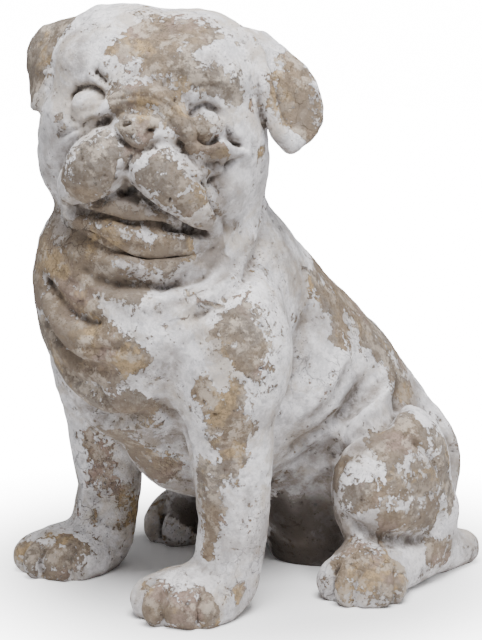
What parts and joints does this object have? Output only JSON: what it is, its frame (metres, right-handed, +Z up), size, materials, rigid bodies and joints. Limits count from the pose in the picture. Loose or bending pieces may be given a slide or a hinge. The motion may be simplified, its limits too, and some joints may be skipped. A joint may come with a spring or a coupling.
{
  "type": "seated dog garden statue",
  "caption": "Life-size seated pug in cast cement with worn whitewash, head turned to one side, flat soles that stand on the ground.",
  "frame": {"origin": "on the ground, under the middle of the statue's width and length", "axes": "+Z up, -Y the way the body faces, +X to the dog's own left"},
  "size_m": [0.2694, 0.3456, 0.42],
  "materials": {
    "cement": "cast cement under worn off-white whitewash, matt and weathered"
  },
  "bodies": {
    "root": {"pug_statue": "cement"}
  },
  "joints": []
}
